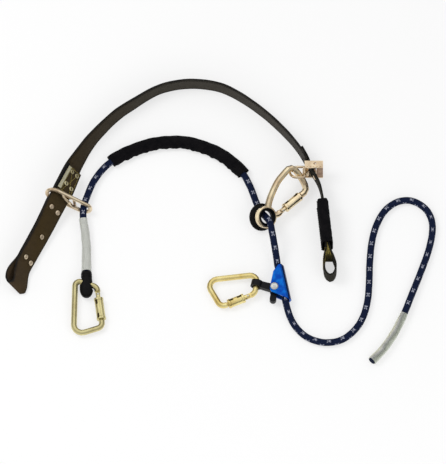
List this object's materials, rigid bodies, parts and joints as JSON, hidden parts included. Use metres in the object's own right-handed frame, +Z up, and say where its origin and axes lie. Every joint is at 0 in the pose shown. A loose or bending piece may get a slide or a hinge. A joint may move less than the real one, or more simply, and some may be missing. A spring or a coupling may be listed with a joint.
{
  "type": "pole climbing fall restrictor",
  "caption": "Pole climbing fall restrictor: an outer pole strap with a friction ring, an inner rope with a wear sleeve, adjuster and locking carabiners, and a hook that links rope and strap",
  "frame": {"origin": "on the surface that it lies on, at the centre of the footprint of everything but the free rope and its sleeves", "axes": "+X to the right and +Y away from the viewer in the picture, +Z up from the surface; the strap stands on its edge"},
  "size_m": [0.7974, 0.5636, 0.0547],
  "materials": {
    "webbing": "matt rubberised webbing",
    "tail_webbing": "plain woven webbing",
    "tag_cloth": "bare woven tag",
    "copper": "copper, lightly tarnished",
    "brass": "brass",
    "ring_bronze": "bronze-coloured plated steel",
    "rope": "braided, navy with white flecks",
    "clear_sleeve": "clear shrink sleeve",
    "black_rubber": "moulded rubber",
    "black_fabric": "woven nylon sleeve",
    "yellow_zinc": "yellow zinc plated steel",
    "champagne_zinc": "pale gold plated steel",
    "spring_steel": "spring steel",
    "blue_anodised": "blue anodised",
    "black_cast": "black coated steel",
    "silver": "bright plated steel"
  },
  "bodies": {
    "strap_and_rope": {"outer_strap": "webbing", "strap_patch": "webbing", "patch_tag": "tag_cloth", "leg_rivet_1": "copper", "leg_rivet_2": "copper", "leg_rivet_3": "copper", "leg_rivet_4": "copper", "leg_rivet_5": "copper", "patch_eyelet_1": "brass", "patch_eyelet_2": "brass", "patch_eyelet_3": "brass", "patch_eyelet_4": "brass", "rope": "rope", "rope_eye_clear_sleeve": "clear_sleeve", "rope_wear_sleeve": "black_fabric", "rope_end_clear_sleeve": "clear_sleeve", "rope_eye_boot": "black_rubber", "strap_tail": "tail_webbing", "tail_rivet": "copper", "tail_wrap": "black_fabric", "buckle_frame": "champagne_zinc", "buckle_keeper": "silver", "adjuster_shell": "blue_anodised", "adjuster_axle": "silver", "adjuster_cam_spring": "spring_steel"},
    "friction_ring": {"friction_ring": "ring_bronze"},
    "left_carabiner": {"left_carabiner_body": "yellow_zinc", "left_carabiner_gate_rivet": "spring_steel"},
    "left_carabiner_gate": {"left_carabiner_gate": "yellow_zinc", "left_carabiner_gate_plunger": "spring_steel", "left_carabiner_gate_spring": "spring_steel", "left_carabiner_sleeve_spring": "spring_steel"},
    "left_carabiner_sleeve": {"left_carabiner_locking_sleeve": "yellow_zinc"},
    "middle_carabiner": {"middle_carabiner_body": "yellow_zinc", "middle_carabiner_gate_rivet": "spring_steel"},
    "middle_carabiner_gate": {"middle_carabiner_gate": "yellow_zinc", "middle_carabiner_gate_plunger": "spring_steel", "middle_carabiner_gate_spring": "spring_steel", "middle_carabiner_sleeve_spring": "spring_steel"},
    "middle_carabiner_sleeve": {"middle_carabiner_locking_sleeve": "yellow_zinc"},
    "cam_arm": {"adjuster_cam_arm": "black_cast"},
    "hook": {"hook_body": "champagne_zinc", "hook_gate_rivet": "spring_steel"},
    "hook_gate": {"hook_gate": "champagne_zinc", "hook_gate_plunger": "spring_steel", "hook_gate_spring": "spring_steel", "hook_sleeve_spring": "spring_steel"},
    "hook_sleeve": {"hook_locking_sleeve": "champagne_zinc"},
    "eye_bush": {"hook_eye_bush": "black_rubber"},
    "d_ring": {"d_ring": "champagne_zinc"},
    "grip_bar": {"buckle_grip_bar": "silver"}
  },
  "joints": [
    {"name": "left_carabiner_swing", "type": "hinge", "parent": "strap_and_rope", "child": "left_carabiner", "pos_m": [-0.15598, -0.14948, 0.01068], "axis": [-0.9446, 0.3281, 0.0085], "range_deg": [-45, 100]},
    {"name": "left_carabiner_gate_hinge", "type": "hinge", "parent": "left_carabiner", "child": "left_carabiner_gate", "pos_m": [-0.13474, -0.1717, 0.0101], "axis": [0, 0.026, -0.9997], "range_deg": [0, 28], "stiffness_Nm_per_rad": 0.06, "springref_deg": -20.05},
    {"name": "left_carabiner_sleeve_twist", "type": "hinge", "parent": "left_carabiner_gate", "child": "left_carabiner_sleeve", "pos_m": [-0.13474, -0.1717, 0.0101], "axis": [0.1301, -0.9912, -0.0258], "range_deg": [0, 80], "stiffness_Nm_per_rad": 0.01, "springref_deg": -17.19},
    {"name": "adjuster_cam_hinge", "type": "hinge", "parent": "strap_and_rope", "child": "cam_arm", "pos_m": [0.19152, -0.16048, 0.01148], "axis": [0, 0, 1], "range_deg": [-20, 0], "stiffness_Nm_per_rad": 0.05, "springref_deg": 17.19},
    {"name": "middle_carabiner_swing", "type": "hinge", "parent": "cam_arm", "child": "middle_carabiner", "pos_m": [0.15902, -0.15098, 0.01148], "axis": [0.2226, 0.9748, 0.013], "range_deg": [-30, 100]},
    {"name": "middle_carabiner_gate_hinge", "type": "hinge", "parent": "middle_carabiner", "child": "middle_carabiner_gate", "pos_m": [0.14277, -0.17545, 0.01073], "axis": [0.0398, 0.0042, -0.9992], "range_deg": [0, 28], "stiffness_Nm_per_rad": 0.06, "springref_deg": -20.05},
    {"name": "middle_carabiner_sleeve_twist", "type": "hinge", "parent": "middle_carabiner_gate", "child": "middle_carabiner_sleeve", "pos_m": [0.14277, -0.17545, 0.01073], "axis": [-0.9228, -0.3833, -0.0384], "range_deg": [0, 80], "stiffness_Nm_per_rad": 0.01, "springref_deg": -17.19},
    {"name": "hook_swing", "type": "hinge", "parent": "strap_and_rope", "child": "hook", "pos_m": [0.17602, -0.02398, 0.03118], "axis": [0.502, -0.352, 0.79], "range_deg": [-1.5, 1.5]},
    {"name": "hook_gate_hinge", "type": "hinge", "parent": "hook", "child": "hook_gate", "pos_m": [0.20586, -0.0059, 0.02027], "axis": [0.502, -0.352, 0.79], "range_deg": [0, 28], "stiffness_Nm_per_rad": 0.06, "springref_deg": -20.05},
    {"name": "hook_sleeve_twist", "type": "hinge", "parent": "hook_gate", "child": "hook_sleeve", "pos_m": [0.20586, -0.0059, 0.02027], "axis": [0.7066, 0.6937, -0.14], "range_deg": [0, 80], "stiffness_Nm_per_rad": 0.01, "springref_deg": -17.19},
    {"name": "bush_spin", "type": "hinge", "parent": "hook", "child": "eye_bush", "pos_m": [0.17602, -0.02398, 0.03118], "axis": [0.502, -0.352, 0.79], "continuous": true},
    {"name": "d_ring_hinge", "type": "hinge", "parent": "strap_and_rope", "child": "d_ring", "pos_m": [0.24822, 0.06602, 0.03318], "axis": [0, 0.9511, -0.309], "range_deg": [-8, 3]},
    {"name": "ring_tilt", "type": "hinge", "parent": "strap_and_rope", "child": "friction_ring", "pos_m": [-0.20559, 0.01672, 0.03338], "axis": [0.89, -0.29, -0.352], "range_deg": [-1, 6]},
    {"name": "grip_bar_slide", "type": "slide", "parent": "strap_and_rope", "child": "grip_bar", "axis": [0.8746, 0.4848, 0], "range_m": [0, 0.002]}
  ]
}
